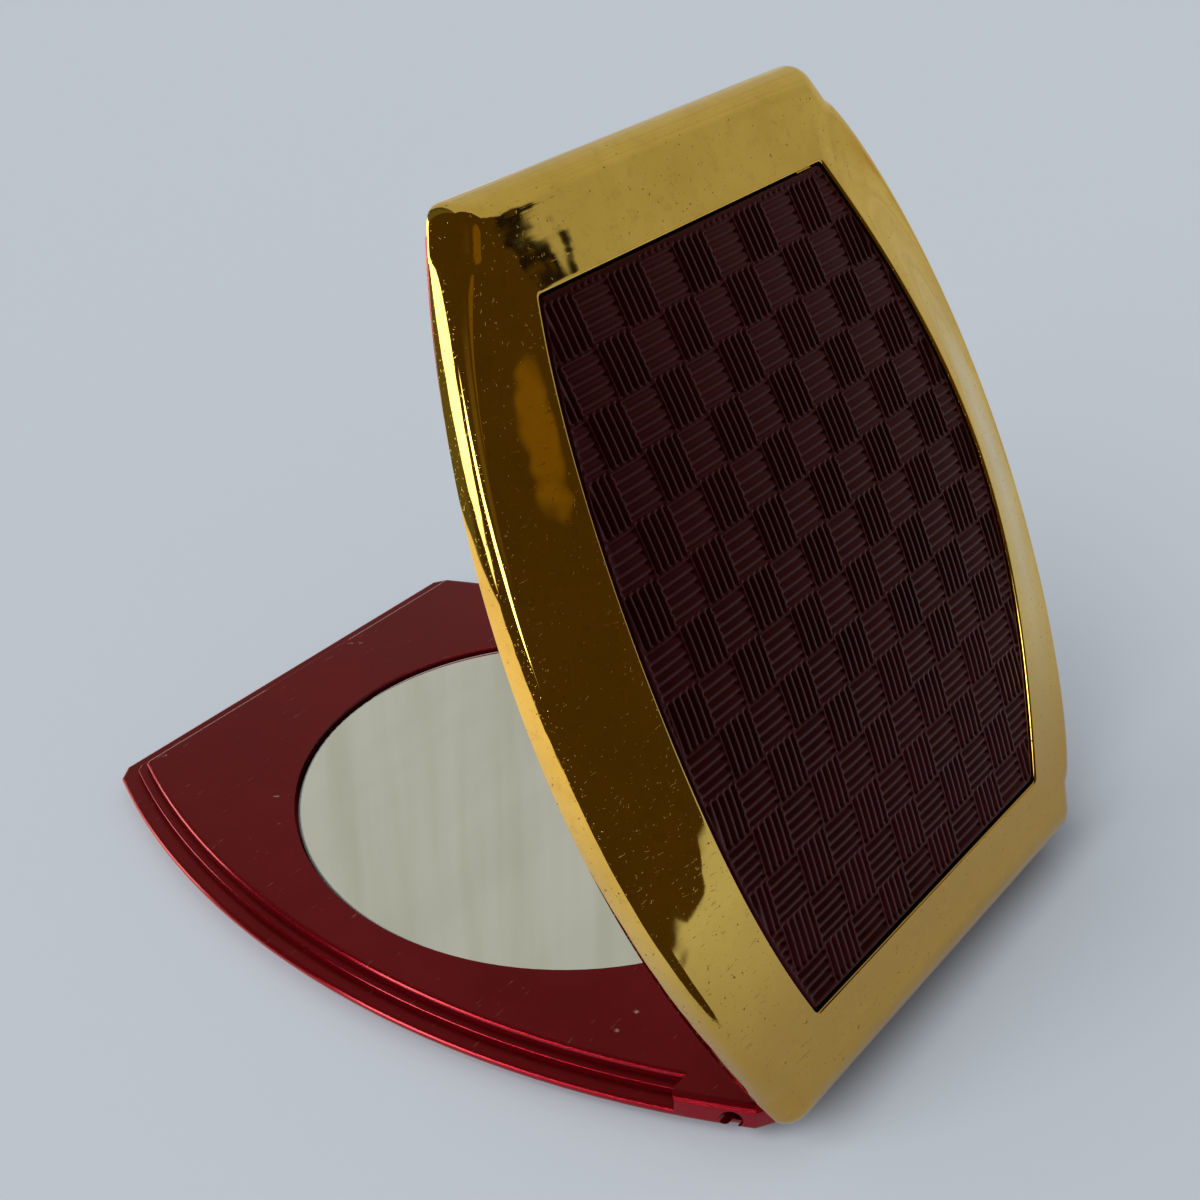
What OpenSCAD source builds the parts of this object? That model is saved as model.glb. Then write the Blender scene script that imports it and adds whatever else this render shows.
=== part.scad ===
// Compact mirror: barrel-shaped case with a gold lid, two round glasses and a low rear hinge.
// Origin at the centre of the base underside, front toward -Y, hinge toward +Y, up is +Z.
// The lid is modelled closed and turned about the hinge line to its rest angle.

/* [Plan outline] */
// half of the length from front edge to hinge edge
half_length = 35.5; // [20:0.1:60]
// half of the width across the middle
half_width = 30.8; // [18:0.1:50]
// half of the width at the straight ends
end_half_width = 22.1; // [10:0.1:45]
// how far the four plan corners are blunted
corner_cut = 0.5; // [0.1:0.05:2]
// plan corner radius of the gold shell
corner_r = 1.8; // [0.5:0.1:4]

/* [Base] */
// depth of the belly cover under the flange
belly = 1.57; // [0.5:0.01:3]
// how far the flat of the belly lies inside the outline
belly_inset = 6; // [2:0.1:12]
// how far the belly edge lies inside the outline at the flange
belly_edge = 0.9; // [0.3:0.1:3]
// flange thickness
flange_t = 0.76; // [0.5:0.01:3]
// rounding of the flange edge
flange_round = 0.35; // [0.1:0.05:0.35]
// first step in from the outline
step_inset = 1.5; // [0.8:0.05:4]
// rise of the first step above the flange
step_rise = 0.57; // [0.2:0.01:2]
// rounding on the first step
step_round = 0.14; // [0.05:0.01:0.5]
// plateau edge in from the outline
plateau_inset = 2.3; // [1:0.05:5]
// rise of the plateau above the first step
plateau_rise = 0.77; // [0.4:0.01:3]
// rounding of the plateau edge
plateau_round = 0.35; // [0.1:0.05:0.8]

/* [Thumb notch] */
// half of the notch width along the front edge
notch_half = 6.1; // [3:0.1:12]
// how far the crescent reaches back
notch_reach = 1.5; // [0.5:0.1:4]
// how deep the crescent floor lies
notch_deep = 0.5; // [0.2:0.05:1]

/* [Glasses] */
// plateau left beside each round opening, from the plan outline
opening_rim = 6.4; // [3:0.05:12]
// opening centre, along Y
opening_y = -0.3; // [-3:0.1:3]
// gap round each glass
glass_gap = 0.3; // [0.1:0.05:1]
// glass face below its frame
glass_below = 0.5; // [0.2:0.05:1.5]
// glass thickness
glass_t = 1; // [0.6:0.05:3]
// ground edge of the glass
glass_round = 0.15; // [0.05:0.01:0.5]
// silvering and its paint
silver_t = 0.1; // [0.05:0.01:0.3]
// silver film in from the glass edge
silver_in = 0.2; // [0.05:0.05:1]
// foam tape thickness
pad_t = 0.2; // [0.1:0.05:1]
// foam tape in from the glass edge
pad_in = 2.2; // [0.5:0.1:6]

/* [Hinge] */
// hinge line in from the rear edge
hinge_in = 2.5; // [1.5:0.1:5]
// hinge line above the table
hinge_z = 2.3; // [1.5:0.05:5]
// pin radius
pin_r = 0.8; // [0.5:0.05:2]
// running clearance of the barrel on the pins
pin_play = 0.05; // [0.01:0.01:0.1]
// pin ends sunk into the ears
pin_sunk = 1.6; // [0.3:0.1:4]
// length of each pin
pin_l = 13; // [6:0.1:20]
// barrel radius
barrel_r = 1.8; // [1.2:0.05:3]
// half of the barrel length
barrel_half = 12; // [6:0.1:18]
// gap at the barrel ends
barrel_gap = 0.3; // [0.2:0.05:1]
// length of the ears along Y
ear_l = 6.9; // [4:0.1:12]
// rounding of the ears toward the rear
ear_round = 1.5; // [0.5:0.1:2]
// rounding of the ears along their outer top edge
ear_edge = 0.7; // [0.2:0.05:1]
// plan radius of the ears' front corners
ear_blend = 0.8; // [0.2:0.05:1]
// centre of that radius in from the base outline
ear_blend_in = 0.65; // [0.2:0.05:1]
// clear radius cut into the lid round the hinge line
sweep_r = 2.85; // [2:0.05:5]
// depth of the blind bore past each pin
bore_past = 0.5; // [0.1:0.1:2]

/* [Lid frame] */
// gap between the closed lid frame and the plateau
lid_gap = 0.3; // [0.2:0.05:1]
// rounding of the lid frame face
frame_round = 0.35; // [0.1:0.05:0.8]
// height of the frame seat inside the shell
seat_h = 1.2; // [0.5:0.05:2]
// rounding of the seat under the rolled edge
seat_round = 1; // [0.5:0.1:1.5]
// clearance of that seat inside the shell wall
seat_play = 0.02; // [0.01:0.01:0.1]
// how far the four plan corners of the seat are blunted
seat_cut = 0.4; // [0.3:0.05:1]

/* [Gold shell] */
// shell side in from the base outline, across the middle
shell_side_in = 0.65; // [0:0.05:3]
// shell side in from the base outline, at the ends
shell_end_in = 0.5; // [0:0.05:3]
// front edge of the shell in from that of the base
shell_front_in = 0.65; // [0:0.05:3]
// rear edge of the shell in from that of the base
shell_rear_in = 1.25; // [0:0.05:3]
// widest place of the shell behind its middle
shell_side_shift = 0.95; // [0:0.05:3]
// sheet thickness
shell_t = 0.6; // [0.3:0.05:1.5]
// lower rim above the table, lid closed
rim_z = 5.63; // [4:0.01:9]
// straight band of the side wall, across the middle
wall_h = 2.04; // [0.5:0.01:4]
// what is left of that band round the ends
wall_foot = 0.2; // [0.1:0.05:1]
// where the band has run out into the rounded ends, along Y
wall_reach = 31.3; // [20:0.1:33]
// radius of the rolled edge, across the middle
roll_r = 0.73; // [0.65:0.01:2.5]
// rise of the dome along the middle
dome_rise = 2.03; // [0.3:0.01:4]
// where the dome fades out, along Y
dome_reach = 34.9; // [28:0.1:40]

/* [Panel] */
// gold border in front of the panel
border_front = 7.8; // [3:0.05:15]
// gold border behind the panel
border_rear = 6.75; // [3:0.05:15]
// gold border beside the panel, across the middle
border_side = 7.4; // [3:0.05:15]
// gold border beside the panel, at its ends
border_corner = 4.15; // [2:0.05:10]
// recess corner radius
panel_corner_r = 0.5; // [0.2:0.05:3]
// gap round the panel
panel_gap = 0.18; // [0.05:0.01:0.5]
// panel face below the gold
panel_below = 0.2; // [0:0.05:1]
// panel thickness
panel_t = 0.8; // [0.4:0.05:2]
// softened panel edge
panel_edge = 0.22; // [0.05:0.01:0.6]
// adhesive thickness
glue_t = 0.1; // [0.05:0.01:0.3]
// adhesive in from the panel edge
glue_in = 1; // [0.3:0.1:4]

/* [Magnets] */
// closing magnet radius
magnet_r = 2; // [1:0.1:4]
// magnet thickness
magnet_t = 1; // [0.5:0.1:2]

/* [Pose] */
// lid angle from closed, in degrees
lid_open = 63.2; // [0:0.1:88]

/* [Hidden] */
// smoothness, which scales with nothing
fine = 128;
arc_steps = 28;
corner_steps = 5;
straight_steps = 8;
roll_steps = 6;
edge_steps = 4;
border_steps = 5;
dome_steps = 48;
// how smooth the rise of the gold border is, from 0 for a straight slope to 1
smooth_share = 0.5;

burgundy = [0.33, 0.05, 0.09];
gold = [0.78, 0.6, 0.25];
wine = [0.16, 0.03, 0.05];
glass_tint = [0.75, 0.82, 0.78];
silver = [0.8, 0.8, 0.8];
foam = [0.85, 0.85, 0.82];
steel = [0.6, 0.6, 0.62];

// radius of an arc bulging by (wide - ends) over the half length
function bulge_r(wide, ends, half) = ((wide - ends) * (wide - ends) + half * half) / (2 * (wide - ends));
// a barrel outline is [side arc radius, its centre beyond X = 0, its centre along Y, front, rear]
function barrel(wide, ends, y, half, shift) =
    let (r = bulge_r(wide, ends, half)) [r, r - wide, y + shift, y - half, y + half];
// the same outline moved inward
function inward(b, d) = [b[0] - d, b[1], b[2], b[3] + d, b[4] - d];

base_plan = barrel(half_width, end_half_width, 0, half_length, 0);
base_trim = norm([end_half_width, half_length]) - corner_cut;

shell_half_width = half_width - shell_side_in;
shell_end_half = end_half_width - shell_end_in;
shell_half_length = half_length - (shell_front_in + shell_rear_in) / 2;
shell_y = (shell_front_in - shell_rear_in) / 2;
shell_plan = barrel(shell_half_width, shell_end_half, shell_y, shell_half_length, shell_side_shift);
seat_plan = inward(shell_plan, shell_t + seat_play);
seat_trim = norm([side_x(seat_plan, seat_plan[4]), seat_plan[4]]) - seat_cut;

panel_half_length = shell_half_length - (border_front + border_rear) / 2;
panel_y = shell_y + (border_front - border_rear) / 2;
panel_plan = barrel(shell_half_width - border_side, shell_end_half - border_corner, panel_y,
    panel_half_length, 0);

crescent_r = (notch_half * notch_half + notch_reach * notch_reach) / (2 * notch_reach);

ledge_z = belly + flange_t;
step_z = ledge_z + step_rise;
plateau_z = step_z + plateau_rise;
opening_r = half_width - opening_rim;
glass_r = opening_r - glass_gap;
glass_z = plateau_z - glass_below - glass_t;
recess_z = glass_z - silver_t - pad_t;
hinge_y = half_length - hinge_in;
// x of the outer end of each pin
pin_out = end_half_width - pin_sunk;
// magnets lie halfway between opening and front edge
magnet_y = (opening_y - opening_r - half_length) / 2;

lid_z = plateau_z + lid_gap;
lid_glass_z = lid_z + glass_below;
lid_recess_z = lid_glass_z + glass_t + silver_t + pad_t;
frame_top = rim_z + seat_h;
edge_z = rim_z + wall_h + roll_r;
floor_drop = panel_below + panel_t + glue_t;
// longer than any cut
far = 3 * half_length;

// x of the right-hand side of an outline
function side_x(b, y) = sqrt(b[0] * b[0] - (y - b[2]) * (y - b[2])) - b[1];
// height of the lid face above its edge, along Y
function dome(y) = let (u = (y - shell_y) / dome_reach) abs(u) < 1 ? dome_rise * pow(1 - u * u, 2) : 0;
// straight band of the side wall, which runs out toward both ends
function band(y) = let (u = (y - shell_y) / wall_reach) abs(u) < 1 ? mix(wall_foot, wall_h, sqrt(1 - pow(u, 6))) : wall_foot;
function mix(a, b, t) = a + (b - a) * t;
// rise of the border, between a straight slope and a smooth one
function ease(t) = mix(t, t * t * (3 - 2 * t), smooth_share);

// right-hand side of an outline with corner radius k, from front to rear
function side_points(b, k) =
    let (r = b[0] - k, yf = b[3] + k, yr = b[4] - k, af = asin((yf - b[2]) / r), ar = asin((yr - b[2]) / r),
         xf = r * cos(af) - b[1], xr = r * cos(ar) - b[1])
    concat(
        [for (i = [0 : corner_steps - 1]) let (w = mix(-90, af, i / corner_steps))
            [xf + k * cos(w), yf + k * sin(w)]],
        [for (i = [0 : arc_steps]) let (w = mix(af, ar, i / arc_steps))
            [b[0] * cos(w) - b[1], b[2] + b[0] * sin(w)]],
        [for (i = [1 : corner_steps]) let (w = mix(ar, 90, i / corner_steps))
            [xr + k * cos(w), yr + k * sin(w)]]);
// points between two ends of a straight edge
function between(p, q) = [for (i = [1 : straight_steps - 1]) mix(p, q, i / straight_steps)];

// the whole outline, counter-clockwise from the front right corner
function outline(b, k) =
    let (right = side_points(b, k), n = len(right), left = [for (i = [n - 1 : -1 : 0]) [-right[i][0], right[i][1]]])
    concat(right, between(right[n - 1], left[0]), left, between(left[n - 1], right[0]));

function base_ring(inset) = outline(inward(base_plan, inset), max(corner_r - inset, corner_cut));
function shell_ring(inset) = outline(inward(shell_plan, inset), max(corner_r - inset, corner_cut));
function panel_ring(grow) = outline(inward(panel_plan, -grow), panel_corner_r + max(grow, 0));

function level(ring, z) = [for (p = ring) [p[0], p[1], z]];
function domed(ring, z, share) = [for (p = ring) [p[0], p[1], z + share * dome(p[1])]];
function shrink(ring, s) = [for (p = ring) [p[0] * s, mix(panel_y, p[1], s)]];

// closed skin through a stack of rings, from a point below them to one above
module skin(rings, bottom, top) {
    n = len(rings[0]);
    m = len(rings);
    points = concat([for (r = rings) each r], [bottom, top]);
    faces = concat(
        [for (i = [0 : n - 1]) [n * m, i, (i + 1) % n]],
        [for (k = [0 : m - 2], i = [0 : n - 1])
            let (j = (i + 1) % n) each [[k * n + i, (k + 1) * n + j, k * n + j],
                                        [k * n + i, (k + 1) * n + i, (k + 1) * n + j]]],
        [for (i = [0 : n - 1]) [(m - 1) * n + i, n * m + 1, (m - 1) * n + (i + 1) % n]]);
    polyhedron(points, faces);
}

// rolled shell surface, moved inward by a distance, its wall running down to the foot
module shell_solid(inward_by, foot) {
    face_z = edge_z - inward_by;
    wall = shell_ring(inward_by);
    wide = shell_ring(wall_h + roll_r);
    // roll radius at each point of the outline
    rolls = [for (p = wall) wall_h + roll_r - band(p[1]) - inward_by];
    reach = wall_h + roll_r - inward_by;
    panel = panel_ring(0);
    rings = concat(
        [level(wall, foot)],
        [for (k = [0 : roll_steps]) let (w = 90 * k / roll_steps)
            [for (i = [0 : len(wall) - 1])
                let (p = mix(wall[i], wide[i], rolls[i] * (1 - cos(w)) / reach))
                [p[0], p[1], face_z - rolls[i] * (1 - sin(w))]]],
        [for (k = [1 : border_steps]) let (t = k / border_steps)
            domed([for (i = [0 : len(wall) - 1])
                mix(mix(wall[i], wide[i], rolls[i] / reach), panel[i], t)], face_z, ease(t))],
        [for (s = [2, 1]) domed(shrink(panel, s / 3), face_z, 1)]);
    skin(rings, [0, panel_y, foot], [0, panel_y, face_z + dome(panel_y)]);
}

// outer edge of a plate from z0 to z1 at reach r, with rounded corners
function edge(r, z0, z1, low, high) = concat(
    low > 0 ? [for (k = [0 : edge_steps]) let (w = 90 * k / edge_steps)
        [r - low + low * sin(w), z0 + low - low * cos(w)]] : [[r, z0]],
    high > 0 ? [for (k = [0 : edge_steps]) let (w = 90 * k / edge_steps)
        [r - high + high * cos(w), z1 - high + high * sin(w)]] : [[r, z1]]);

module edged_disc(r, z0, z1, low, high) {
    rotate_extrude($fn = 4 * fine) polygon(concat([[0, z0]], edge(r, z0, z1, low, high), [[0, z1]]));
}

module edged_bar(half, z0, z1, low, high) {
    side = edge(half, z0, z1, low, high);
    rotate([90, 0, 90]) translate([0, 0, -half_length]) linear_extrude(2 * half_length)
        polygon(concat(side, [for (i = [len(side) - 1 : -1 : 0]) [-side[i][0], side[i][1]]]));
}

// barrel-shaped plate with true rounded edges
module barrel_plate(b, trim, inset, z0, z1, low, high) {
    intersection() {
        both_sides(b) edged_disc(b[0] - inset, z0, z1, low, high);
        edged_disc(trim - inset, z0, z1, low, high);
        translate([0, (b[3] + b[4]) / 2, 0]) edged_bar((b[4] - b[3]) / 2 - inset, z0, z1, low, high);
    }
}

// what two copies of a disc, one about each side arc's centre, have in common
module both_sides(b) {
    intersection() {
        translate([-b[1], b[2], 0]) children();
        translate([b[1], b[2], 0]) children();
    }
}

module along_x(r, x0, x1) {
    translate([x0, hinge_y, hinge_z]) rotate([0, 90, 0]) cylinder(x1 - x0, r, r, $fn = fine);
}

module block(x0, x1, y0, y1, z0, z1) {
    translate([x0, y0, z0]) cube([x1 - x0, y1 - y0, z1 - z0]);
}

// swings a closed lid piece to the rest angle
module opened() {
    translate([0, hinge_y, hinge_z]) rotate([-lid_open, 0, 0]) translate([0, -hinge_y, -hinge_z])
        children();
}

// slab that follows the dome between two heights over the lid edge plane
module dome_slab(z0, z1) {
    ys = [for (i = [0 : dome_steps]) mix(-half_length, half_length, i / dome_steps)];
    rotate([90, 0, 90]) translate([0, 0, -half_width]) linear_extrude(2 * half_width) polygon(concat(
        [for (y = ys) [y, edge_z + z1 + dome(y)]],
        [for (i = [dome_steps : -1 : 0]) [ys[i], edge_z + z0 + dome(ys[i])]]));
}

module panel_prism(grow, z0, z1) {
    translate([0, 0, z0]) linear_extrude(z1 - z0) polygon(panel_ring(grow));
}

// ears beside the hinge, as high as the plateau
module ears() {
    front = half_length - ear_l;
    difference() {
        intersection() {
            barrel_plate(base_plan, base_trim, 0, belly, plateau_z, flange_round, ear_edge);
            block(-half_width, half_width, front, half_length, 0, far);
        }
        for (s = [0, 1]) mirror([s, 0, 0]) ear_corner(front);
    }
}

// what lies outside a circle in the corner between the ear's front and the base outline
module ear_corner(front) {
    y = front + ear_blend;
    x = side_x(base_plan, y) - ear_blend_in;
    translate([0, 0, belly]) linear_extrude(far) difference() {
        polygon([[x, front], [x, y], [x + 2 * ear_blend, y], [x + 2 * ear_blend, front - ear_blend],
            [x, front - ear_blend]]);
        translate([x, y]) circle(ear_blend, $fn = fine / 2);
    }
}

module base_tray() {
    color(burgundy) difference() {
        union() {
            barrel_plate(base_plan, base_trim, 0, belly, ledge_z, flange_round, flange_round);
            barrel_plate(base_plan, base_trim, step_inset, belly, step_z, 0, step_round);
            barrel_plate(base_plan, base_trim, plateau_inset, belly, plateau_z, 0, plateau_round);
            ears();
        }
        translate([0, opening_y, recess_z]) cylinder(far, opening_r, opening_r, $fn = 2 * fine);
        // crescent at the front edge
        translate([0, plateau_inset + notch_reach - half_length - crescent_r, plateau_z - notch_deep])
            cylinder(far, crescent_r, crescent_r, $fn = 2 * fine);
        // slot for the lid barrel, open to the rear
        block(-barrel_half - barrel_gap, barrel_half + barrel_gap,
            hinge_y - barrel_r - barrel_gap, far, -belly, far);
        // rounded top rear corner of the ears
        difference() {
            block(-half_width, half_width, half_length - ear_round, far, plateau_z - ear_round, far);
            translate([-half_width, half_length - ear_round, plateau_z - ear_round])
                rotate([0, 90, 0]) cylinder(2 * half_width, ear_round, ear_round, $fn = fine);
        }
        along_x(pin_r, -half_width, half_width);
        translate([0, magnet_y, 0]) cylinder(belly + magnet_t, magnet_r, magnet_r, $fn = fine);
    }
}

module base_cover() {
    low = base_ring(belly_inset);
    high = base_ring(belly_edge);
    color(burgundy) difference() {
        translate([0, 0, belly]) mirror([0, 0, 1]) skin(concat(
            [level(high, 0)],
            [for (k = [1 : roll_steps]) let (t = k / roll_steps)
                level([for (i = [0 : len(low) - 1]) mix(high[i], low[i], 1 - sqrt(1 - t * t * t))],
                    belly * t)]), [0, 0, 0], [0, 0, belly]);
        block(-barrel_half - barrel_gap, barrel_half + barrel_gap,
            hinge_y - barrel_r - barrel_gap, far, -belly, far);
        along_x(pin_r + pin_play, -half_width, half_width);
    }
}

// a glass with softly ground edges
module glass_disc(z) {
    translate([0, opening_y, z]) rotate_extrude($fn = 2 * fine) {
        square([glass_r - glass_round, glass_t]);
        translate([0, glass_round]) square([glass_r, glass_t - 2 * glass_round]);
        for (h = [glass_round, glass_t - glass_round])
            translate([glass_r - glass_round, h]) circle(glass_round, $fn = fine / 4);
    }
}

module film_disc(z, inset, thick) {
    translate([0, opening_y, z]) cylinder(thick, glass_r - inset, glass_r - inset, $fn = 2 * fine);
}

module base_mirror_glass() {
    color(glass_tint) glass_disc(glass_z);
}

module base_mirror_backing() {
    color(silver) film_disc(glass_z - silver_t, silver_in, silver_t);
}

module base_mirror_pad() {
    color(foam) film_disc(recess_z, pad_in, pad_t);
}

module base_magnet() {
    color(steel) translate([0, magnet_y, belly])
        cylinder(magnet_t, magnet_r, magnet_r, $fn = fine);
}

module pin(side) {
    x0 = side > 0 ? pin_out - pin_l : -pin_out;
    along_x(pin_r, x0, x0 + pin_l);
}

module hinge_pin_left() {
    color(steel) pin(-1);
}

module hinge_pin_right() {
    color(steel) pin(1);
}

module lid_frame() {
    color(burgundy) opened() difference() {
        union() {
            barrel_plate(base_plan, base_trim, plateau_inset, lid_z, frame_top, frame_round, 0);
            barrel_plate(seat_plan, seat_trim, 0, rim_z, frame_top, 0, seat_round);
            along_x(barrel_r, -barrel_half, barrel_half);
            // web between barrel and frame
            block(-barrel_half, barrel_half, hinge_y - barrel_r, seat_plan[4], hinge_z,
                frame_top - seat_round);
        }
        translate([0, opening_y, lid_recess_z - far]) cylinder(far, opening_r, opening_r, $fn = 2 * fine);
        for (s = [1, -1]) along_x(sweep_r, s > 0 ? barrel_half : -far, s > 0 ? far : -barrel_half);
        along_x(pin_r + pin_play, pin_out - pin_l - bore_past, far);
        along_x(pin_r + pin_play, -far, pin_l + bore_past - pin_out);
        translate([0, magnet_y, frame_top - magnet_t])
            cylinder(far, magnet_r, magnet_r, $fn = fine);
    }
}

module lid_shell() {
    color(gold) opened() difference() {
        union() {
            difference() {
                shell_solid(0, rim_z);
                shell_solid(shell_t, rim_z - wall_h);
            }
            intersection() {
                panel_prism(shell_t, rim_z, far);
                dome_slab(-floor_drop - shell_t, -panel_below);
            }
        }
        intersection() {
            panel_prism(0, rim_z, far);
            dome_slab(-floor_drop, far);
        }
    }
}

module lid_panel() {
    color(wine) opened() union() {
        intersection() {
            panel_prism(-panel_gap, rim_z, far);
            dome_slab(-panel_below - panel_t, -panel_below - panel_edge);
        }
        intersection() {
            panel_prism(-panel_gap - panel_edge, rim_z, far);
            dome_slab(-panel_below - panel_t, -panel_below);
        }
    }
}

module lid_panel_adhesive() {
    color(foam) opened() intersection() {
        panel_prism(-glue_in, rim_z, far);
        dome_slab(-floor_drop, glue_t - floor_drop);
    }
}

module lid_mirror_glass() {
    color(glass_tint) opened() glass_disc(lid_glass_z);
}

module lid_mirror_backing() {
    color(silver) opened() film_disc(lid_glass_z + glass_t, silver_in, silver_t);
}

module lid_mirror_pad() {
    color(foam) opened() film_disc(lid_glass_z + glass_t + silver_t, pad_in, pad_t);
}

module lid_magnet() {
    color(steel) opened() translate([0, magnet_y, frame_top - magnet_t])
        cylinder(magnet_t, magnet_r, magnet_r, $fn = fine);
}

base_tray();
base_cover();
base_mirror_glass();
base_mirror_backing();
base_mirror_pad();
base_magnet();
hinge_pin_left();
hinge_pin_right();
lid_frame();
lid_shell();
lid_panel();
lid_panel_adhesive();
lid_mirror_glass();
lid_mirror_backing();
lid_mirror_pad();
lid_magnet();
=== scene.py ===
import math

import bmesh
import bpy
from mathutils import Matrix, Vector

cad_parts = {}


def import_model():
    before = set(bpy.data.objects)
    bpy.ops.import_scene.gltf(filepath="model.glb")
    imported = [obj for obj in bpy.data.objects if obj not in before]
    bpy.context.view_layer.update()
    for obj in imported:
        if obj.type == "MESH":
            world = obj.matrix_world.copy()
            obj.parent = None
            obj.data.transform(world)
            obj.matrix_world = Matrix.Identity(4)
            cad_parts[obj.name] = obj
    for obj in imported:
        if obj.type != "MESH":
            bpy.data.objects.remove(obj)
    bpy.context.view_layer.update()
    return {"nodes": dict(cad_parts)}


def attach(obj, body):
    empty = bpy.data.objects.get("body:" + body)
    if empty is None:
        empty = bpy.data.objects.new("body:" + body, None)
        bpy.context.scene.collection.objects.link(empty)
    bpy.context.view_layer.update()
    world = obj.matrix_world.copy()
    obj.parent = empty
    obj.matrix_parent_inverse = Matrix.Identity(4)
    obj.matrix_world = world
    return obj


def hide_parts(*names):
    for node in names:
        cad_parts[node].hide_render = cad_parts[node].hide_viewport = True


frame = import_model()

NODES = frame["nodes"]
MM = 0.001
# areas smaller than TINY count as none when a cell is clipped; vertices nearer than MERGE metres are joined
TINY, MERGE = 1e-9, 1e-8


# Geometry: plan outlines and heights in millimetres, lid closed, as in the CAD model

def barrel(wide, ends, y, half, shift=0.0):
    """An outline: side arc radius, its centre beyond X = 0 and along Y, front and rear edge."""
    r = ((wide - ends) ** 2 + half * half) / (2 * (wide - ends))
    return r, r - wide, y + shift, y - half, y + half


# plan of the gold shell and of its panel recess: half width in the middle and at the ends, half length,
# and how far the middle of the shell's side arcs lies toward the hinge
MIDDLE_Y, PANEL_Y = -0.3, 0.225
SHELL_WIDE, SHELL_ENDS, SHELL_HALF, SHELL_SHIFT = 30.15, 21.6, 34.55, 0.95
PANEL_WIDE, PANEL_ENDS, PANEL_HALF = 22.75, 17.45, 27.275
SHELL = barrel(SHELL_WIDE, SHELL_ENDS, MIDDLE_Y, SHELL_HALF, SHELL_SHIFT)
PANEL = barrel(PANEL_WIDE, PANEL_ENDS, PANEL_Y, PANEL_HALF)
# corner radius of the shell, the least that an inset leaves of it, and the recess's corner radius
CORNER_R, CORNER_CUT, PANEL_R = 1.8, 0.5, 0.5
HINGE_Y, HINGE_Z = 33.0, 2.3
LID_OPEN = math.radians(63.2)
# sheet, height of the rim, side wall in the middle and at the ends, its reach along Y, radius of the roll
SHELL_T, RIM_Z, WALL_H, WALL_FOOT, WALL_REACH, ROLL_R = 0.6, 5.63, 2.04, 0.2, 31.3, 0.73
EDGE_Z = RIM_Z + WALL_H + ROLL_R
DOME_Y, DOME_RISE, DOME_REACH = MIDDLE_Y, 2.03, 34.9
# gap around the panel, its drop below the border, its thickness and edge rounding, and the glue
PANEL_GAP, PANEL_BELOW, PANEL_T, PANEL_EDGE, GLUE_T = 0.18, 0.2, 0.8, 0.22, 0.1
FLOOR_DROP = PANEL_BELOW + PANEL_T + GLUE_T
ARC_STEPS, CORNER_STEPS, STRAIGHT_STEPS = 160, 12, 48
# the plateau of the base, the middles of the two glasses and their radius
PLATEAU_Z, GLASS_Z, LID_GLASS_Z, GLASS_R = 4.03, 2.67, 4.97, 24.1


def opened(p):
    """A point of the closed lid, in millimetres, at the rest angle, in metres."""
    y, z = p[1] - HINGE_Y, p[2] - HINGE_Z
    c, s = math.cos(LID_OPEN), math.sin(LID_OPEN)
    return Vector((p[0], HINGE_Y + y * c + z * s, HINGE_Z - y * s + z * c)) * MM


def mix(a, b, t):
    return a + (b - a) * t


def mix2(a, b, t):
    return a[0] + (b[0] - a[0]) * t, a[1] + (b[1] - a[1]) * t


def smooth(t):
    return t * t * (3 - 2 * t)


def ease(t):
    """Rise of the gold border: half a straight slope, half a smooth one."""
    return mix(t, smooth(t), 0.5)


def dome(y):
    u = (y - DOME_Y) / DOME_REACH
    return DOME_RISE * (1 - u * u) ** 2 if abs(u) < 1 else 0.0


def band(y):
    """Straight band of the side wall, which runs out toward both ends."""
    u = (y - DOME_Y) / WALL_REACH
    return mix(WALL_FOOT, WALL_H, math.sqrt(1 - u ** 6)) if abs(u) < 1 else WALL_FOOT


def inward(shape, d):
    r, beyond, middle, front, rear = shape
    return r - d, beyond, middle, front + d, rear - d


def outline(shape, k):
    """Points of an outline with corner radius k, counter-clockwise from the front right."""
    r, beyond, middle, front, rear = shape
    start = math.asin((front + k - middle) / (r - k))
    end = math.asin((rear - k - middle) / (r - k))
    right = []
    for i in range(CORNER_STEPS):
        w = mix(-math.pi / 2, start, i / CORNER_STEPS)
        right.append(((r - k) * math.cos(start) - beyond + k * math.cos(w), front + k + k * math.sin(w)))
    for i in range(ARC_STEPS + 1):
        w = mix(start, end, i / ARC_STEPS)
        right.append((r * math.cos(w) - beyond, middle + r * math.sin(w)))
    for i in range(1, CORNER_STEPS + 1):
        w = mix(end, math.pi / 2, i / CORNER_STEPS)
        right.append(((r - k) * math.cos(end) - beyond + k * math.cos(w), rear - k + k * math.sin(w)))
    left = [(-x, y) for x, y in reversed(right)]

    def between(p, q):
        return [mix2(p, q, i / STRAIGHT_STEPS) for i in range(1, STRAIGHT_STEPS)]
    return right + between(right[-1], left[0]) + left + between(left[-1], right[0])


def shell_ring(inset):
    return outline(inward(SHELL, inset), max(CORNER_R - inset, CORNER_CUT))


def panel_ring(grow):
    return outline(inward(PANEL, -grow), PANEL_R + max(grow, 0))


def margin(shape, p):
    """How far a point lies inside an outline, its corners apart."""
    r, beyond, middle, front, rear = shape
    return min(r - math.hypot(abs(p[0]) + beyond, p[1] - middle), p[1] - front, rear - p[1])


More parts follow.
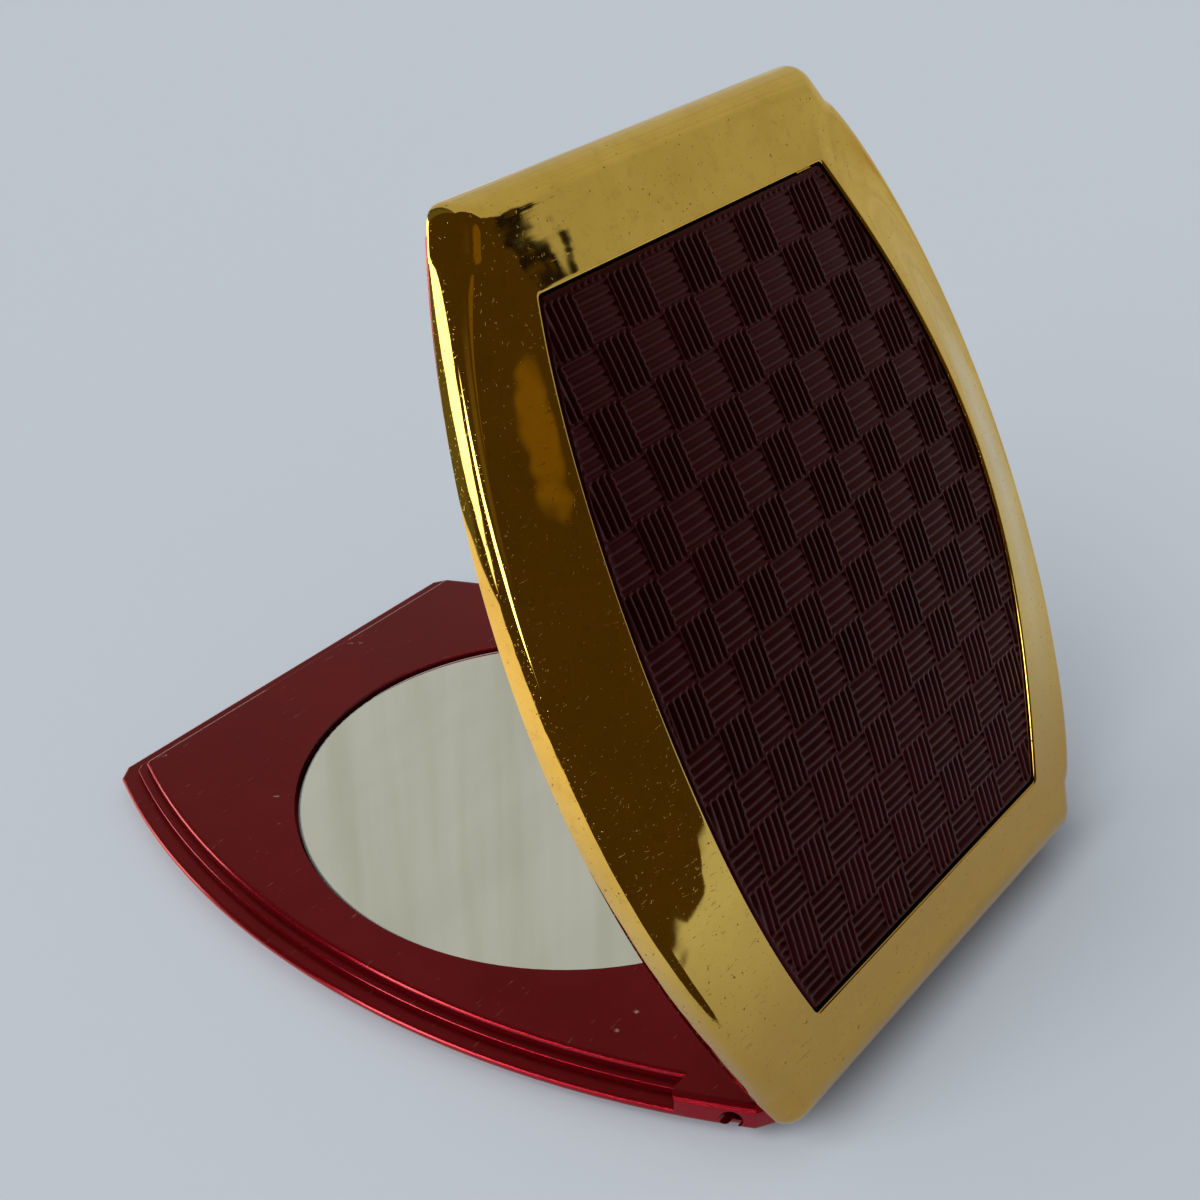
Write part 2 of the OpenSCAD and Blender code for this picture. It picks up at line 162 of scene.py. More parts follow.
def new_piece(name, verts, faces, body, slot, *replaced):
    mesh = bpy.data.meshes.new(name)
    mesh.from_pydata(verts, [], faces)
    mesh.validate()
    for f in mesh.polygons:
        f.use_smooth = True
    piece = bpy.data.objects.new(name, mesh)
    bpy.context.scene.collection.objects.link(piece)
    bm = bmesh.new()
    bm.from_mesh(mesh)
    bmesh.ops.remove_doubles(bm, verts=bm.verts, dist=MERGE)
    bmesh.ops.recalc_face_normals(bm, faces=bm.faces)
    bm.to_mesh(mesh)
    bm.free()
    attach(piece, body)
    if replaced:
        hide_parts(*replaced)
    return piece


def loft(rings, first, last):
    """Faces through a stack of equal rings, closed by fans to a first and a last point."""
    n, verts, faces = len(rings[0]), [v for r in rings for v in r], []
    for k in range(len(rings) - 1):
        for i in range(n):
            j = (i + 1) % n
            faces.append((k * n + i, k * n + j, (k + 1) * n + j, (k + 1) * n + i))
    m = (len(rings) - 1) * n
    verts += [first, last]
    faces += [(m + n, (i + 1) % n, i) for i in range(n)]
    faces += [(m + n + 1, m + i, m + (i + 1) % n) for i in range(n)]
    return verts, faces


# Gold shell

LIP_R, RIM_R, TUCK = 0.2, 0.12, 0.02
ROLL_STEPS, BORDER_STEPS, ROUND_STEPS = 24, 32, 6
INNER_ROLL_STEPS, INNER_BORDER_STEPS = 8, 6
FLOOR_SHARES = (0.4, 0.8, 1)


def shell_skin(depth, roll_steps, border_steps, lip):
    """Rings over wall, rolled edge and border, from the rim up, a depth under the outer face."""
    face_z = EDGE_Z - depth
    wall, wide, edge = shell_ring(depth), shell_ring(WALL_H + ROLL_R), panel_ring(lip)
    reach = WALL_H + ROLL_R - depth
    rolls = [WALL_H + ROLL_R - band(y) - depth for x, y in wall]
    rings = []
    for k in range(roll_steps + 1):
        w = math.pi / 2 * k / roll_steps
        ring = []
        for p, q, r in zip(wall, wide, rolls):
            x, y = mix2(p, q, r * (1 - math.cos(w)) / reach)
            ring.append((x, y, face_z - r * (1 - math.sin(w))))
        rings.append(ring)
    for k in range(1, border_steps + 1):
        t = k / border_steps
        ring = []
        for p, q, r, e in zip(wall, wide, rolls, edge):
            x, y = mix2(mix2(p, q, r / reach), e, t)
            ring.append((x, y, face_z + ease(t) * dome(y)))
        rings.append(ring)
    return rings


def gold_shell():
    out, inn, pocket, panel = shell_ring(0), shell_ring(SHELL_T), panel_ring(SHELL_T), panel_ring(0)
    under = FLOOR_DROP + SHELL_T

    def flat(ring, s, drop):
        return [(x * s, mix(PANEL_Y, y, s), EDGE_Z - drop + dome(mix(PANEL_Y, y, s))) for x, y in ring]
    # underside of the panel floor, then the inner side out and down
    rings = [flat(pocket, s, under) for s in FLOOR_SHARES]
    rings += reversed(shell_skin(SHELL_T, INNER_ROLL_STEPS, INNER_BORDER_STEPS, SHELL_T + TUCK))
    # rounded rim
    for k in range(ROUND_STEPS + 1):
        w = math.pi * k / ROUND_STEPS
        rings.append([(*mix2(i, o, 0.5 - 0.5 * math.cos(w)), RIM_Z + RIM_R * (1 - math.sin(w)))
                      for i, o in zip(inn, out)])
    rings += shell_skin(0, ROLL_STEPS, BORDER_STEPS, LIP_R)
    # rounded lip of the recess, then its wall and floor
    for k in range(1, ROUND_STEPS + 1):
        w = math.pi / 2 * k / ROUND_STEPS
        rings.append([(x, y, EDGE_Z + dome(y) - LIP_R * (1 - math.cos(w)))
                      for x, y in panel_ring(LIP_R * (1 - math.sin(w)))])
    rings += [flat(panel, s, FLOOR_DROP) for s in reversed(FLOOR_SHARES)]
    rings = [[opened(p) for p in r] for r in rings]
    verts, faces = loft(rings, opened((0, PANEL_Y, EDGE_Z + DOME_RISE - under)),
                        opened((0, PANEL_Y, EDGE_Z + DOME_RISE - FLOOR_DROP)))
    return new_piece("gold_shell", verts, faces, "lid", "gold_plate", "lid_shell")


# Woven panel: square blocks of ridges, turned by a quarter from block to block

WEAVE_X, WEAVE_Y = 3.8, 3.847
WEAVE_AT = (-0.825, 0.66)
STRIPS, GROOVE, GROOVE_DEEP, WEB, SOFT = 5, 0.28, 0.17, 0.24, 0.14
PILLOW = 0.035
# the grid's reach from the middle, the strip without weave along the edge and the width of its fade
GRID_X, GRID_Y, BARE, FADE = 24, 29, 0.1, 0.25
# cells nearer the edge than this are clipped, cells farther outside than this are left out
CLIP_WITHIN, SKIP_BEYOND = 0.6, 1
MERGE_DIGITS, EDGE_STEPS = 4, 5


def groove_lines(block):
    """Positions across one block where the relief changes, from one side to the other."""
    strip = block / STRIPS
    out = [0.0, WEB / 2 + SOFT / 2, block - WEB / 2 - SOFT / 2]
    for k in range(STRIPS):
        c = (k + 0.5) * strip
        out += [c - GROOVE / 2 - SOFT / 2, c - GROOVE / 2 + SOFT / 2,
                c + GROOVE / 2 - SOFT / 2, c + GROOVE / 2 + SOFT / 2]
    return sorted(out)


def ramp(u, edge):
    """1 deep inside a groove, 0 outside it: u is the distance inside its side."""
    return min(max((u + edge) / (2 * edge), 0.0), 1.0)


def relief(x, y):
    """Depth below the crowns of the weave, in millimetres."""
    i, j = math.floor((x - WEAVE_AT[0]) / WEAVE_X), math.floor((y - WEAVE_AT[1]) / WEAVE_Y)
    u, v = x - WEAVE_AT[0] - i * WEAVE_X, y - WEAVE_AT[1] - j * WEAVE_Y
    along, across, wide, deep = (v, u, WEAVE_X, WEAVE_Y) if (i + j) % 2 else (u, v, WEAVE_Y, WEAVE_X)
    strip = wide / STRIPS
    off = abs((across % strip) - strip / 2)
    side = ramp(GROOVE / 2 - off, SOFT / 2)
    end = ramp(min(along, deep - along) - WEB / 2, SOFT / 2)
    crown = (2 * along / deep - 1) ** 2
    return GROOVE_DEEP * smooth(side) * smooth(end) + PILLOW * crown


def clip_to(poly, ring):
    """The part of a convex polygon inside a convex counter-clockwise ring."""
    for k in range(len(ring)):
        a, b = ring[k - 1], ring[k]
        ex, ey = b[0] - a[0], b[1] - a[1]
        d = [ex * (p[1] - a[1]) - ey * (p[0] - a[0]) for p in poly]
        if min(d) >= -TINY:
            continue
        if max(d) <= TINY:
            return []
        out = []
        for i in range(len(poly)):
            p, q, dp, dq = poly[i - 1], poly[i], d[i - 1], d[i]
            if (dp >= 0) != (dq >= 0):
                out.append(mix2(p, q, dp / (dp - dq)))
            if dq >= 0:
                out.append(q)
        poly = out
        if len(poly) < 3:
            return []
    return poly


def free_border(faces):
    """The one loop of edges that only one face has, in order."""
    free = set()
    for f in faces:
        for k in range(len(f)):
            a, b = f[k - 1], f[k]
            if (b, a) in free:
                free.remove((b, a))
            else:
                free.add((a, b))
    after = dict(free)
    loop = [min(after)]
    while after[loop[-1]] != loop[0]:
        loop.append(after[loop[-1]])
    return loop


def beside(p, inner, outer):
    """The point of the outer ring beside a point of the inner one."""
    best = None
    for k in range(len(inner)):
        a, b = inner[k - 1], inner[k]
        ex, ey = b[0] - a[0], b[1] - a[1]
        t = ((p[0] - a[0]) * ex + (p[1] - a[1]) * ey) / (ex * ex + ey * ey)
        t = min(max(t, 0.0), 1.0)
        d = math.hypot(a[0] + ex * t - p[0], a[1] + ey * t - p[1])
        if best is None or d < best[0]:
            best = d, mix2(outer[k - 1], outer[k], t)
    return best[1]


def woven_panel():
    inset = PANEL_GAP + PANEL_EDGE
    inner, outer = panel_ring(-inset), panel_ring(-PANEL_GAP)
    face_z = EDGE_Z - PANEL_BELOW

    def lines(block, at, reach):
        n = math.ceil(reach / block) + 1
        return [at + i * block + u for i in range(-n, n) for u in groove_lines(block)]
    xs = lines(WEAVE_X, WEAVE_AT[0], GRID_X)
    ys = lines(WEAVE_Y, WEAVE_AT[1], GRID_Y)
    index, verts, faces = {}, [], []

    def vert(p):
        key = (round(p[0], MERGE_DIGITS), round(p[1], MERGE_DIGITS))
        if key not in index:
            index[key] = len(verts)
            fade = min(max((margin(PANEL, p) - inset - BARE) / FADE, 0.0), 1.0)
            verts.append((p[0], p[1], face_z + dome(p[1]) - relief(*p) * fade))
        return index[key]
    for i in range(len(xs) - 1):
        for j in range(len(ys) - 1):
            cell = [(xs[i], ys[j]), (xs[i + 1], ys[j]), (xs[i + 1], ys[j + 1]), (xs[i], ys[j + 1])]
            space = [margin(PANEL, p) for p in cell]
            if max(space) < -SKIP_BEYOND:
                continue
            if min(space) < inset + CLIP_WITHIN:
                cell = clip_to(cell, inner)
            if len(cell) > 2:
                f = [vert(p) for p in cell]
                f = [v for k, v in enumerate(f) if v != f[k - 1]]
                if len(f) > 2:
                    faces.append(f)
    last = free_border(faces)
    pairs = [(verts[v][:2], beside(verts[v], inner, outer)) for v in last]
    # rounded edge, then straight down to the underside
    for k in range(1, EDGE_STEPS + 2):
        w = math.pi / 2 * min(k, EDGE_STEPS) / EDGE_STEPS
        ring = []
        for a, b in pairs:
            x, y = mix2(a, b, math.sin(w))
            drop = PANEL_EDGE * (1 - math.cos(w)) if k <= EDGE_STEPS else PANEL_T
            ring.append(len(verts))
            verts.append((x, y, face_z + dome(y) - drop))
        faces += [(last[i], last[i - 1], ring[i - 1], ring[i]) for i in range(len(ring))]
        last = ring
    centre = len(verts)
    verts.append((0, PANEL_Y, face_z - PANEL_T + DOME_RISE))
    faces += [(centre, last[i], last[i - 1]) for i in range(len(last))]
    return new_piece("woven_panel", [opened(p) for p in verts], faces, "lid", "panel_enamel", "lid_panel")


# Materials

class Nodes:
    """A short way to build a node tree."""

    def __init__(self, name, tree=None):
        if tree is None:
            self.mat = bpy.data.materials.new(name)
            self.mat.use_nodes = True
            tree = self.mat.node_tree
            self.bsdf = tree.nodes["Principled BSDF"]
        self.tree = tree

    def add(self, kind, **values):
        node = self.tree.nodes.new(kind)
        for key, value in values.items():
            setattr(node, key, value)
        return node

    def plug(self, value, socket):
        """Link an output, or set a number or colour, on a socket."""
        if isinstance(value, (int, float)) and socket.type == "RGBA":
            value = (value, value, value)
        if isinstance(value, tuple) and socket.type == "RGBA":
            socket.default_value = (*value, 1)
        elif isinstance(value, (tuple, int, float)):
            socket.default_value = value
        else:
            self.tree.links.new(value, socket)

    def set(self, **values):
        for key, value in values.items():
            self.plug(value, self.bsdf.inputs[key.replace("_", " ")])

    def coords(self):
        """Object coordinates in millimetres."""
        return self.vector("SCALE", self.add("ShaderNodeTexCoord").outputs["Object"], scale=1 / MM)

    def vector(self, op, a, b=None, scale=None):
        v = self.add("ShaderNodeVectorMath", operation=op)
        self.plug(a, v.inputs[0])
        if b is not None:
            self.plug(b, v.inputs[1])
        if scale is not None:
            v.inputs["Scale"].default_value = scale
        return v.outputs["Value" if op in ("LENGTH", "DISTANCE", "DOT_PRODUCT") else "Vector"]

    def noise(self, vector, scale, detail=3.0, rough=0.5, colour=False):
        n = self.add("ShaderNodeTexNoise")
        for key, value in (("Scale", scale), ("Detail", detail), ("Roughness", rough)):
            n.inputs[key].default_value = value
        self.plug(vector, n.inputs["Vector"])
        return n.outputs["Color" if colour else "Fac"]

    def ramp(self, value, *stops):
        r = self.add("ShaderNodeValToRGB")
        e = r.color_ramp.elements
        while len(e) < len(stops):
            e.new(0.5)
        for point, (pos, col) in zip(e, stops):
            point.position = pos
            point.color = (col, col, col, 1) if isinstance(col, (int, float)) else (*col, 1)
        self.plug(value, r.inputs["Fac"])
        return r.outputs["Color"]

    def math(self, op, a, b=None):
        m = self.add("ShaderNodeMath", operation=op)
        for k, v in enumerate((a, b)):
            if v is not None:
                self.plug(v, m.inputs[k])
        return m.outputs[0]

    def step(self, value, low, high):
        """0 below low, 1 above high, smooth between; low above high turns it round."""
        m = self.add("ShaderNodeMapRange", interpolation_type="SMOOTHSTEP")
        turned = low > high
        for key, v in (("Value", value), ("From Min", min(low, high)), ("From Max", max(low, high)),
                       ("To Min", 1.0 if turned else 0.0), ("To Max", 0.0 if turned else 1.0)):
            self.plug(v, m.inputs[key])
        return m.outputs["Result"]

    def bump(self, height, distance, strength=1.0, normal=None):
        b = self.add("ShaderNodeBump")
        b.inputs["Distance"].default_value = distance
        b.inputs["Strength"].default_value = strength
        self.plug(height, b.inputs["Height"])
        if normal is not None:
            self.plug(normal, b.inputs["Normal"])
        return b.outputs["Normal"]

    def mixed(self, fac, a, b):
        m = self.add("ShaderNodeMix", data_type="RGBA")
        for socket, v in ((m.inputs[0], fac), (m.inputs[6], a), (m.inputs[7], b)):
            self.plug(v, socket)
        return m.outputs[2]

    def inside(self, *edges):
        """1 inside the edges, each of them (value, outside, inside), 0 beyond any of them."""
        total = None
        for value, outside, inside in edges:
            m = self.step(value, outside, inside)
            total = m if total is None else self.math("MULTIPLY", total, m)
        return total

    def near(self, vector, points, reach):
        """1 at the given points, 0 beyond their reach."""
        total = None
        for p in points:
            m = self.step(self.vector("DISTANCE", vector, tuple(p)), reach, reach * 0.6)
            total = m if total is None else self.math("MAXIMUM", total, m)
        return total


WINE_TOP = (0.145, 0.0045, 0.0075), (0.18, 0.0065, 0.010)
WINE_SIDE = (0.25, 0.0035, 0.012), (0.32, 0.006, 0.018)
BARE_METAL = (0.50, 0.30, 0.28)
CHIP_R, CHIP_RAGGED = 0.42, 0.7
CHIPS = ((-5.2, -32.2), (-5.9, -31.5), (19.0, -32.5), (17.2, -19.9), (19.9, -16.6), (22.3, 21.8),
         (19.7, 21.8))


def paint():
    """Metallic lacquer: satin on top, glossier on the stepped sides."""
    n = Nodes("case_paint")
    v = n.coords()
    cloud = n.noise(v, 0.12, 4.0)
    flake = n.noise(v, 11.0, 1.0)
    normal = n.add("ShaderNodeNewGeometry").outputs["Normal"]
    top = n.step(n.vector("DOT_PRODUCT", normal, (0.0, 0.0, 1.0)), 0.9, 0.995)
    base = n.ramp(cloud, (0.35, WINE_TOP[0]), (0.7, WINE_TOP[1]))
    side = n.mixed(n.step(flake, 0.45, 0.7), *WINE_SIDE)
    # chips on the plateau of the base, and a thin scatter of scuffs
    ragged = n.vector("ADD", v, n.vector("SCALE", n.noise(v, 2.4, 3.0, colour=True), scale=CHIP_RAGGED))
    off = CHIP_RAGGED / 2
    chips = n.near(ragged, [(x + off, y + off, PLATEAU_Z + off) for x, y in CHIPS], CHIP_R)
    streak = n.noise(n.vector("MULTIPLY", v, (0.5, 5.0, 1.0)), 1.0, 3.0)
    scuffs = n.math("MULTIPLY", n.step(streak, 0.70, 0.74), 0.3)
    worn = n.math("MAXIMUM", chips, scuffs)
    n.set(Base_Color=n.mixed(worn, n.mixed(top, side, base), BARE_METAL),
          Metallic=0.85, IOR=1.35, Coat_Weight=n.mixed(top, 0.35, 0.0), Coat_Roughness=0.08)
    n.set(Roughness=n.mixed(top, 0.19, n.ramp(cloud, (0.3, 0.34), (0.75, 0.42))))
    n.set(Normal=n.bump(chips, 0.0001, 0.6, n.bump(flake, 0.00002, 0.25)))
    return n.mat


GOLD_TONES = (0.75, 0.485, 0.09), (0.88, 0.585, 0.125)
# the first colour is painted shade that darkens the gold near the table; the heights in millimetres where
# it begins and where it is full follow
PAINTED_SHADE, STAINED, PITTED = (0.46, 0.255, 0.06), (0.62, 0.37, 0.07), (0.34, 0.19, 0.04)
PAINTED_SHADE_FROM, PAINTED_SHADE_TO = 24.0, 8.0


def gold():
    """Polished plating: painted shade makes it browner near the table, with stains, pits and scratches."""
    n = Nodes("gold_plate")
    v = n.coords()
    cloud = n.noise(v, 0.14, 5.0, 0.6)
    base = n.ramp(cloud, (0.3, GOLD_TONES[0]), (0.7, GOLD_TONES[1]))
    height = n.vector("DOT_PRODUCT", v, (0.0, 0.0, 1.0))
    # painted shade: the gold turns darker and browner below 24 mm height, toward the table
    base = n.mixed(n.math("MULTIPLY", n.step(height, PAINTED_SHADE_FROM, PAINTED_SHADE_TO), 0.8), base, PAINTED_SHADE)
    stain = n.math("MULTIPLY", n.step(n.noise(v, 0.9, 6.0, 0.7), 0.52, 0.68), 0.35)
    base = n.mixed(stain, base, STAINED)
    pits = n.step(n.noise(v, 3.2, 2.0), 0.31, 0.25)
    n.set(Base_Color=n.mixed(pits, base, PITTED), Metallic=1.0)
    streak = n.noise(n.vector("MULTIPLY", v, (0.35, 4.5, 4.5)), 1.0, 3.0)
    marks = n.math("MAXIMUM", pits, n.math("MULTIPLY", n.step(streak, 0.67, 0.71), 0.25))
    n.set(Roughness=n.ramp(cloud, (0.3, 0.02), (0.75, 0.05)))
    wave = n.bump(n.noise(v, 0.16, 2.0), 0.0002, 0.35)
    n.set(Normal=n.bump(marks, 0.00004, 0.4, wave))
    return n.mat


ENAMEL_TONES = (0.042, 0.0040, 0.0055), (0.060, 0.0058, 0.0080)


def enamel():
    """Satin wine enamel of the woven panel."""
    n = Nodes("panel_enamel")
    v = n.coords()
    cloud = n.noise(v, 0.2, 4.0)
    n.set(Base_Color=n.ramp(cloud, (0.3, ENAMEL_TONES[0]), (0.75, ENAMEL_TONES[1])),
          Metallic=0.94, IOR=1.25, Roughness=n.ramp(cloud, (0.3, 0.30), (0.75, 0.40)),
          Normal=n.bump(n.noise(v, 5.0, 3.0), 0.00003, 0.4))
    return n.mat


def mirror(name, centre):
    """Silvered glass seen from its face: a mirror with painted reflected streaks, and a green ground edge.
    """
    n = Nodes(name)
    v = n.coords()
    edge = n.step(n.vector("DISTANCE", v, centre), GLASS_R - 0.3, GLASS_R - 0.12)
    # painted reflection: soft upright light and dark streaks in the mirror's tone
    painted_streaks = n.noise(n.vector("MULTIPLY", v, (0.25, 1.2, 1.0)), 0.12, 3.0)
    face = n.ramp(painted_streaks, (0.35, (0.80, 0.81, 0.76)), (0.65, (0.86, 0.86, 0.82)))
    n.set(Base_Color=n.mixed(edge, face, (0.19, 0.23, 0.2)), Metallic=n.mixed(edge, 1.0, 0.0),
          Roughness=n.mixed(edge, 0.02, 0.3))
    return n.mat


def plain(name, colour, metallic, rough, scale):
    """A slightly clouded material for the pieces inside."""
    n = Nodes(name)
    f = n.noise(n.coords(), scale, 4.0)
    n.set(Base_Color=n.ramp(f, (0.3, tuple(c * 0.8 for c in colour)), (0.7, colour)), Metallic=metallic,
          Roughness=n.ramp(f, (0.3, rough * 0.85), (0.7, rough)), Normal=n.bump(f, 0.00002, 0.4))
    return n.mat


def give(obj, mat):
    obj.data.materials.clear()
    obj.data.materials.append(mat)


# Stage: pale floor, a wide soft key, and a plain room that the metal and the glass reflect

PALE = (0.503, 0.546, 0.597)
FLOOR, FLOOR_SIZE = (0.432, 0.470, 0.514), 0.9
KEY_FROM, KEY_POWER, KEY_WIDE = (0.80, -0.16, 0.58), 3.2, 50
SOFT_FROM, SOFT_DIM, SOFT_BRIGHT = (0.80, -0.20, 0.56), (0.16, 0.164, 0.173), (0.78, 0.784, 0.79)
LOW_WINDOW, SIDE_WINDOW = (4.2, 4.1, 3.7), (8.0, 7.6, 7.0)
# colour and strength of a painted pool of warm window light that the floor glows with, for glossy rays only
PAINTED_POOL, PAINTED_POOL_POWER = (0.9, 0.62, 0.22), 0.55
# directions on the table, toward the camera's side and toward the windows
NEAR_SIDE, WINDOW_SIDE = (0.966, 0.383, 0.0), (0.606, -0.796, 0.0)


def angles(n, way):
    """Azimuth and elevation of a direction, in degrees."""
    xyz = n.add("ShaderNodeSeparateXYZ")
    n.plug(way, xyz.inputs[0])
    az = n.math("DEGREES", n.math("ARCTAN2", xyz.outputs["Y"], xyz.outputs["X"]))
    el = n.math("DEGREES", n.math("ARCSINE", xyz.outputs["Z"]))
    return az, el


def curtain_folds(n, az, el):
    """Upright folds: noise that hardly changes with height."""
    at = n.add("ShaderNodeCombineXYZ")
    n.plug(n.math("MULTIPLY", az, 0.45), at.inputs["X"])
    n.plug(n.math("MULTIPLY", el, 0.04), at.inputs["Y"])
    return n.noise(at.outputs["Vector"], 1.0, 4.0, 0.6)


def pale_side(n, az, el, folds):
    """The light side of the room, in folds, with a shaded and a warm patch."""
    height = n.step(el, 0.0, 45.0)
    wall = n.mixed(height, (0.53, 0.545, 0.52), (0.48, 0.48, 0.42))
    shade = n.mixed(height, (0.46, 0.465, 0.41), (0.42, 0.42, 0.34))
    wall = n.mixed(n.step(folds, 0.30, 0.62), shade, wall)
    shaded = n.inside((az, 128.0, 136.0), (az, 165.0, 152.0), (el, 10.0, 16.0), (el, 36.0, 27.0))
    wall = n.mixed(shaded, wall, (0.415, 0.415, 0.37))
    warm = n.inside((az, 134.0, 140.0), (az, 158.0, 150.0), (el, -3.0, 1.0), (el, 13.0, 9.0))
    return n.mixed(warm, wall, (0.36, 0.25, 0.03))


def dark_side(n, az, el, curtain):
    """The unlit side of the room, with brown patches and a black edge beside the curtain."""
    brown = n.inside((az, 20.0, 50.0), (az, 95.0, 70.0), (el, 20.0, 30.0), (el, 55.0, 40.0))
    dark = n.mixed(brown, (0.062, 0.038, 0.006), (0.13, 0.09, 0.02))
    amber = n.inside((az, 98.0, 105.0), (az, 127.0, 123.0), (el, 25.6, 27.0), (el, 45.0, 38.0))
    dark = n.mixed(amber, dark, (0.17, 0.10, 0.006))
    olive = n.inside((az, -110.0, -90.0), (az, -60.0, -68.0))
    dark = n.mixed(olive, dark, (0.12, 0.11, 0.04))
    black = n.inside((curtain, 138.2, 138.7), (el, 15.0, 17.0), (el, 31.0, 26.0))
    return n.mixed(black, dark, (0.002, 0.001, 0.001))


def plain_room(n, way):
    """What the metal and the glass reflect: a dark and a pale side, and two windows."""
    az, el = angles(n, way)
    folds = curtain_folds(n, az, el)
    wobble = n.math("MULTIPLY", n.math("SUBTRACT", n.noise(way, 30.0, 4.0, 0.6), 0.5), 3.2)
    az = n.math("ADD", az, wobble)
    # the curtain's edge leans with height, the low window's sill and top with azimuth
    curtain = n.math("SUBTRACT", az, n.math("MULTIPLY", n.math("SUBTRACT", el, 18.0), 0.55))
    turned = n.math("ADD", az, 60.0)
    sill = n.math("ADD", el, n.math("MULTIPLY", turned, 0.45))
    top = n.math("ADD", el, n.math("MULTIPLY", turned, 1.9))
    unlit = n.inside((az, -112.0, -104.0), (curtain, 139.8, 139.3))
    sky = n.mixed(unlit, pale_side(n, az, el, folds), dark_side(n, az, el, curtain))
    low_window = n.inside((az, -91.0, -87.0), (az, -48.0, -51.0), (sill, -16.5, -14.5),
                          (el, 18.0, 15.0), (top, 10.0, 7.0))
    sky = n.mixed(low_window, sky, LOW_WINDOW)
    side_window = n.inside((az, -34.0, -28.0), (az, 30.0, 22.0), (el, 5.0, 7.0), (el, 18.0, 15.0))
    return n.mixed(side_window, sky, SIDE_WINDOW)


def world():
    """Soft light for diffuse rays, a pale ground for the camera, a plain room for glossy rays."""
    data = bpy.data.worlds.new("studio")
    bpy.context.scene.world = data
    data.use_nodes = True
    n = Nodes("studio", data.node_tree)
    way = n.vector("NORMALIZE", n.add("ShaderNodeTexCoord").outputs["Generated"])
    # soft studio light, brighter from the key's side
    soft = n.step(n.vector("DOT_PRODUCT", way, SOFT_FROM), -0.6, 0.85)
    soft = n.mixed(soft, SOFT_DIM, SOFT_BRIGHT)
    path = n.add("ShaderNodeLightPath")
    lit = n.mixed(path.outputs["Is Glossy Ray"], soft, plain_room(n, way))
    back = data.node_tree.nodes["Background"]
    n.plug(n.mixed(path.outputs["Is Camera Ray"], lit, PALE), back.inputs["Color"])
    back.inputs["Strength"].default_value = 1.0


def floor_look():
    """Matt floor: only the metal and the glass see it end, and see a painted pool of window light glow on
    it.
    """
    n = Nodes("floor")
    v = n.coords()
    ragged = n.math("MULTIPLY", n.math("SUBTRACT", n.noise(v, 0.09, 5.0, 0.65), 0.5), 16.0)
    near = n.math("ADD", n.vector("DOT_PRODUCT", v, NEAR_SIDE), ragged)
    window = n.vector("DOT_PRODUCT", v, WINDOW_SIDE)
    glossy = n.add("ShaderNodeLightPath").outputs["Is Glossy Ray"]
    # where the photo's table ends, toward the camera and toward the windows
    edge = n.math("MULTIPLY", n.step(near, 64.0, 61.0), n.step(window, 105.0, 99.0))
    edge = n.math("MAXIMUM", edge, n.math("SUBTRACT", 1.0, glossy))
    # painted light: toward the windows the floor glows warm, for glossy rays only
    painted_pool = n.math("MULTIPLY", n.step(window, -15.0, 60.0), glossy)
    n.set(Base_Color=FLOOR, Roughness=0.9, Specular_IOR_Level=0.0,
          Emission_Color=PAINTED_POOL, Emission_Strength=n.math("MULTIPLY", painted_pool, PAINTED_POOL_POWER),
          Alpha=n.math("MULTIPLY", edge, n.step(n.vector("LENGTH", v), 440.0, 300.0)))
    return n.mat


def floor_sheet():
    bpy.ops.mesh.primitive_plane_add(size=FLOOR_SIZE, location=(0, 0, 0))
    floor = bpy.context.object
    floor.name = "floor"
    give(floor, floor_look())


def key_lamp():
    data = bpy.data.lights.new("key", "SUN")
    data.energy = KEY_POWER
    data.angle = math.radians(KEY_WIDE)
    lamp = bpy.data.objects.new("key", data)
    lamp.visible_glossy = False
    lamp.rotation_euler = Vector(KEY_FROM).to_track_quat("Z", "Y").to_euler()
    bpy.context.scene.collection.objects.link(lamp)


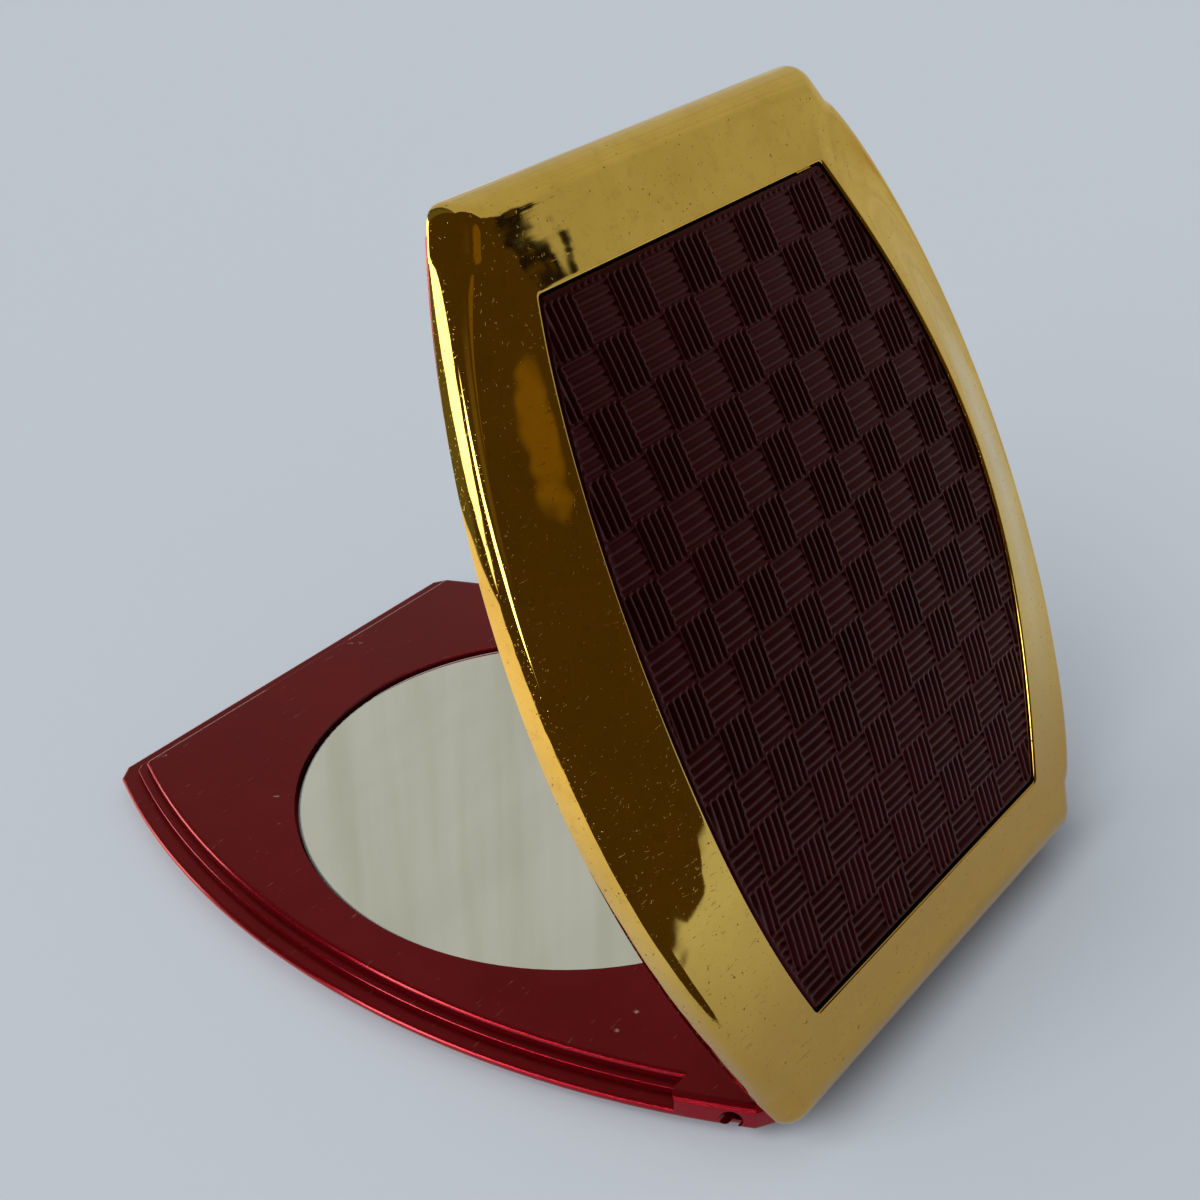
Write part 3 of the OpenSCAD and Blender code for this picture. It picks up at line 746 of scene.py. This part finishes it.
# solved from the photo: where the camera stands, and its right and up directions
CAMERA_AT = (0.105395, 0.08365, 0.104121)
CAMERA_RIGHT, CAMERA_UP = (-0.605781, 0.795631, -0.000832), (-0.411028, -0.312054, 0.85655)
LENS, SENSOR = 55.772, 36


def camera():
    data = bpy.data.cameras.new("camera")
    data.sensor_width = SENSOR
    data.lens = LENS
    data.clip_start = 0.005
    cam = bpy.data.objects.new("camera", data)
    right, up = Vector(CAMERA_RIGHT), Vector(CAMERA_UP)
    back = right.cross(up).normalized()
    m = Matrix((right, back.cross(right), back)).transposed().to_4x4()
    m.translation = Vector(CAMERA_AT)
    cam.matrix_world = m
    bpy.context.scene.collection.objects.link(cam)
    bpy.context.scene.camera = cam


# The part, dressed

camera()
world()
floor_sheet()
key_lamp()
shell = gold_shell()
panel = woven_panel()
PAINT, GOLD, ENAMEL = paint(), gold(), enamel()
SILVER = plain("silvering", (0.86, 0.87, 0.84), 1.0, 0.05, 0.3)
STEEL = plain("plain_steel", (0.09, 0.085, 0.08), 1.0, 0.5, 2.0)
FOAM = plain("foam_tape", (0.8, 0.8, 0.76), 0.0, 0.9, 3.0)
GLUE = plain("glue_film", (0.7, 0.66, 0.5), 0.0, 0.6, 2.0)
looks = {
    "base_tray": PAINT, "base_cover": PAINT, "lid_frame": PAINT,
    "base_mirror_glass": mirror("mirror_glass", (0.0, MIDDLE_Y, GLASS_Z)),
    "lid_mirror_glass": mirror("mirror_glass_lid", tuple(opened((0, MIDDLE_Y, LID_GLASS_Z)) / MM)),
    "base_mirror_backing": SILVER, "lid_mirror_backing": SILVER,
    "base_mirror_pad": FOAM, "lid_mirror_pad": FOAM,
    "hinge_pin_left": STEEL, "hinge_pin_right": STEEL, "base_magnet": STEEL, "lid_magnet": STEEL,
    "lid_panel_adhesive": GLUE, "lid_panel": ENAMEL, "lid_shell": GOLD,
}
for name, mat in looks.items():
    give(NODES[name], mat)
give(shell, GOLD)
give(panel, ENAMEL)

bpy.context.scene.view_settings.view_transform = "Standard"
